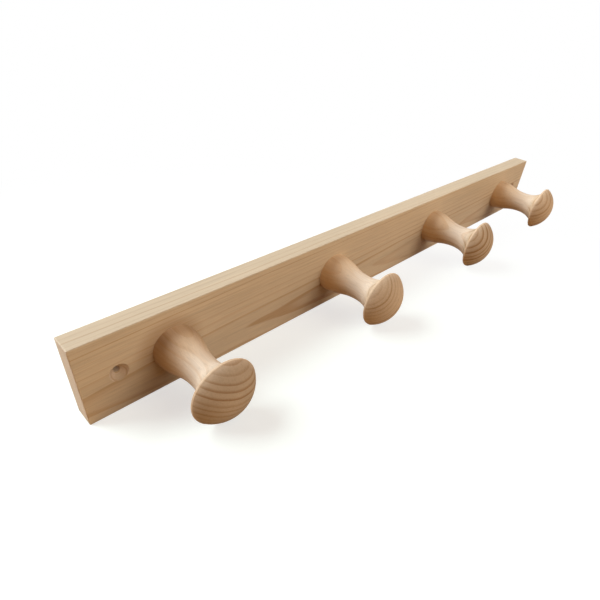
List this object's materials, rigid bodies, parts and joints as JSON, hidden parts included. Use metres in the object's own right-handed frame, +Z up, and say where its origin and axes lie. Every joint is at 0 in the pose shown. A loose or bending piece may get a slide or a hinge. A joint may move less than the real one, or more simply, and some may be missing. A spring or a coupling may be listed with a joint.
{
  "type": "peg rail",
  "caption": "Wall-mounted wooden peg rail: a plain board with a row of turned mushroom pegs for coats and bags, and countersunk screw holes near its ends.",
  "frame": {"origin": "centre of the board's flat back face, which lies on the wall", "axes": "+X along the board, +Y into the wall, +Z up; the pegs point into the room along -Y"},
  "size_m": [0.6, 0.087, 0.062],
  "materials": {
    "board_wood": "planed and fine sanded, unfinished pine",
    "peg_wood": "turned and fine sanded, unfinished pine",
    "screw_steel": "zinc-plated wood screw"
  },
  "bodies": {
    "root": {"rail": "board_wood", "peg_1": "peg_wood", "peg_2": "peg_wood", "peg_3": "peg_wood", "peg_4": "peg_wood", "peg_screw_1": "screw_steel", "peg_screw_2": "screw_steel", "peg_screw_3": "screw_steel", "peg_screw_4": "screw_steel"}
  },
  "joints": []
}
